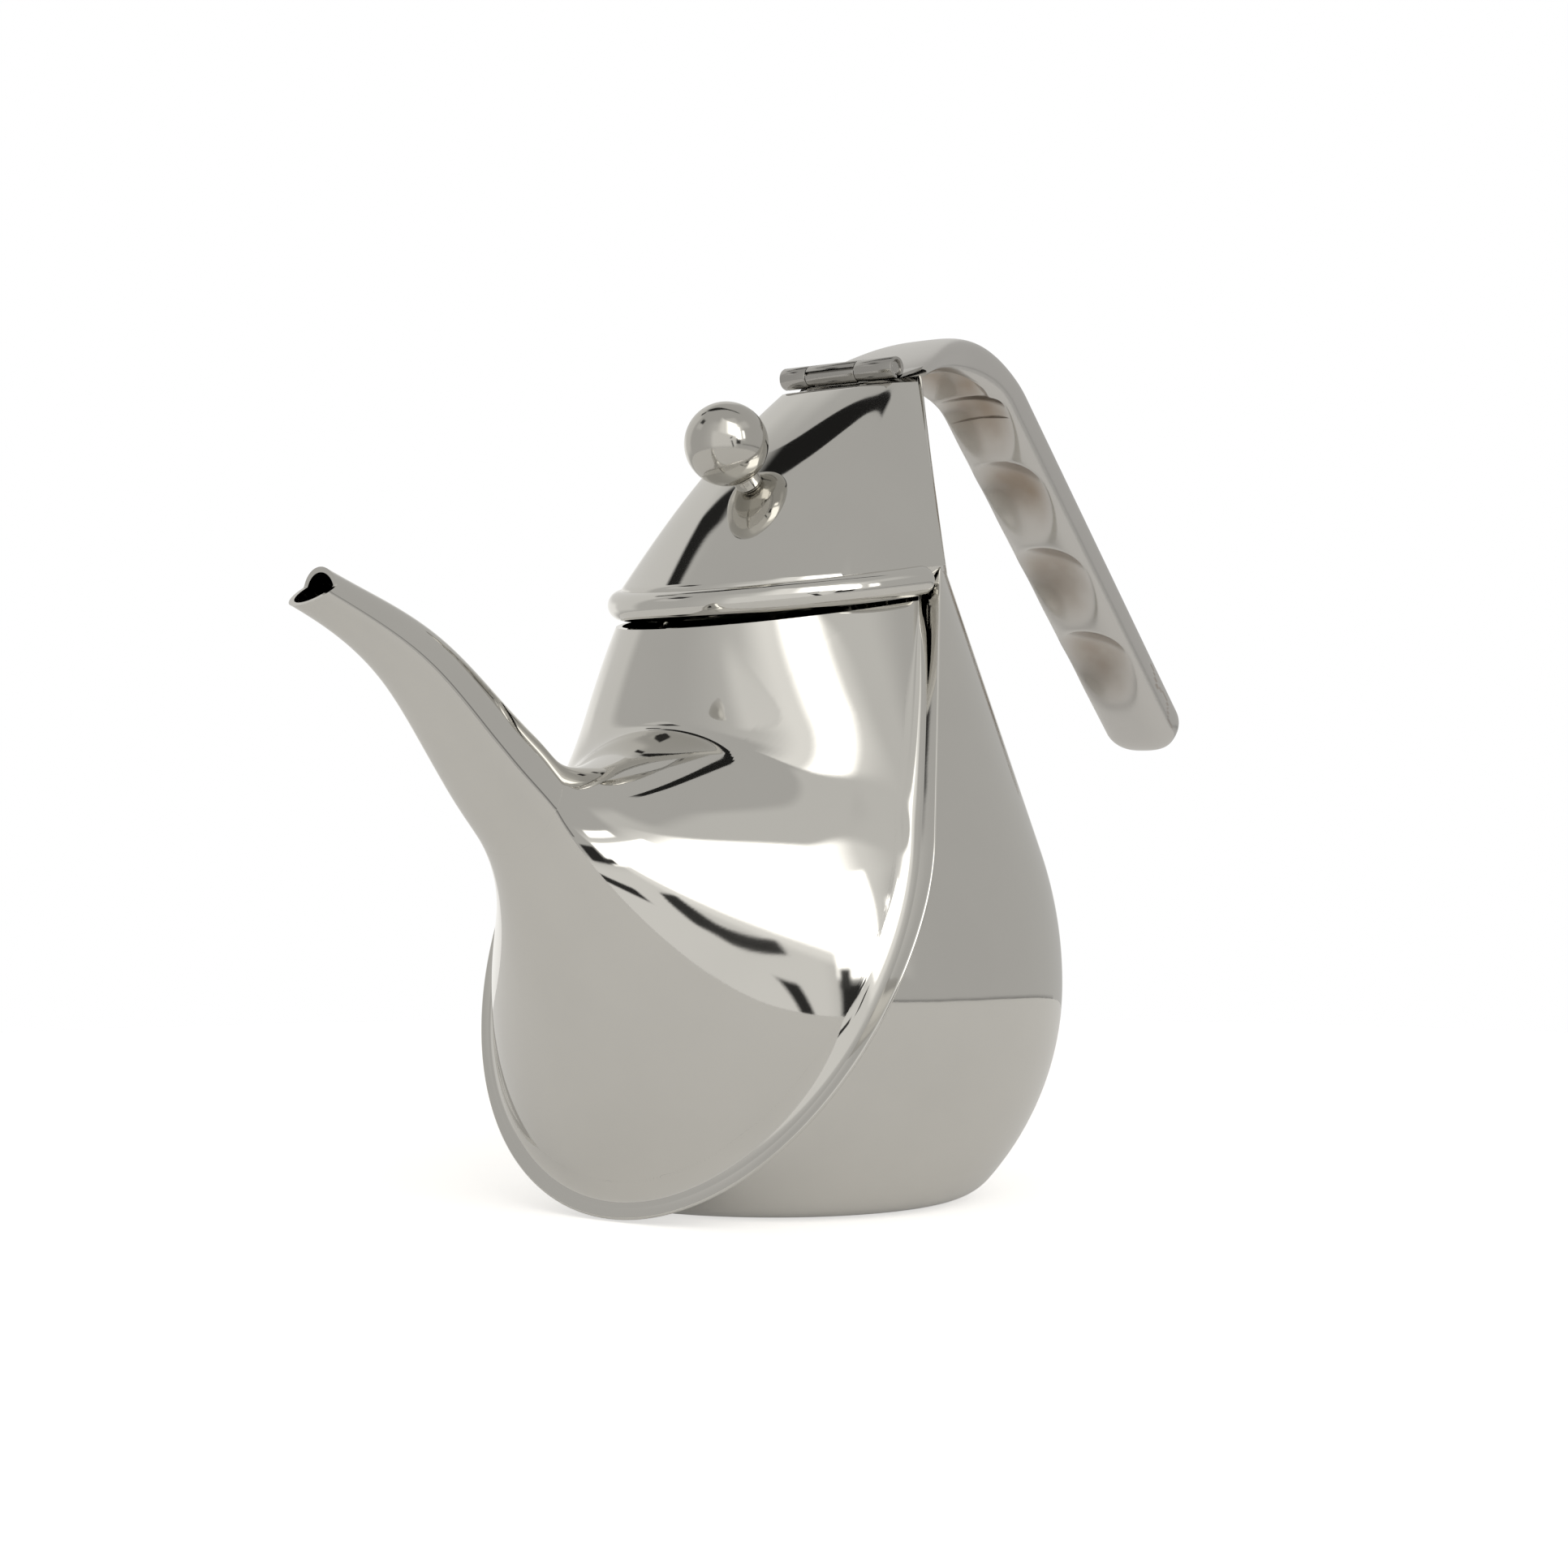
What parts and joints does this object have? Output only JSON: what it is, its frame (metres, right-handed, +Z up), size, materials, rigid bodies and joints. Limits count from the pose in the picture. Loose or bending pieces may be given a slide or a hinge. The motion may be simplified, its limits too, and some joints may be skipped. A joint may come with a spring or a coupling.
{
  "type": "gooseneck kettle",
  "caption": "Polished steel pouring kettle with a swept gooseneck spout, a half-cone lid hinged at the back with a ball knob, and a free-ended grip handle with finger dents.",
  "frame": {"origin": "centre of the round base, on the surface that the kettle stands on", "axes": "+X toward the spout, +Z up, +Y to the left of someone who looks along +X"},
  "size_m": [0.2766, 0.1172, 0.1813],
  "materials": {
    "polished_steel": "polished",
    "satin_steel": "satin"
  },
  "bodies": {
    "kettle": {"rear_shell": "polished_steel", "front_shell": "polished_steel", "spout": "polished_steel", "back_wall": "polished_steel", "hinge_far": "polished_steel", "hinge_near": "polished_steel", "hinge_pin": "satin_steel", "handle_bracket": "satin_steel", "handle_outer": "satin_steel", "handle_inner": "satin_steel", "handle_cap": "satin_steel"},
    "lid": {"lid_shell": "polished_steel", "lid_bead": "polished_steel", "knob_ball": "polished_steel", "knob_stem": "polished_steel", "knob_screw": "satin_steel", "hinge_middle": "polished_steel"}
  },
  "joints": [
    {"name": "lid_hinge", "type": "hinge", "parent": "kettle", "child": "lid", "pos_m": [-0.022, 0, 0.1703], "axis": [0, -1, 0], "range_deg": [0, 110]}
  ]
}
